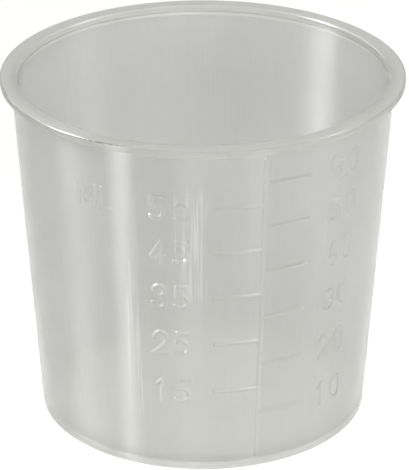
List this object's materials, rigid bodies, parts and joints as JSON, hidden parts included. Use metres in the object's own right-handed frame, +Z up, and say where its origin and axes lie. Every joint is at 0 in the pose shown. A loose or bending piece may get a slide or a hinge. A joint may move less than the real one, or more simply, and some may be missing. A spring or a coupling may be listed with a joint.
{
  "type": "medicine cup",
  "caption": "Small tapered measuring cup in translucent plastic, with a flat flanged rim and a raised millilitre scale on its wall.",
  "frame": {"origin": "centre of the foot, on the plane that the cup stands on", "axes": "+Z up along the cup's axis to the mouth, -Y through the stem line of the scale, +X to the right when the scale is read"},
  "size_m": [0.0516, 0.0514, 0.046],
  "materials": {
    "polypropylene": "translucent satin"
  },
  "bodies": {
    "root": {"cup": "polypropylene"}
  },
  "joints": []
}
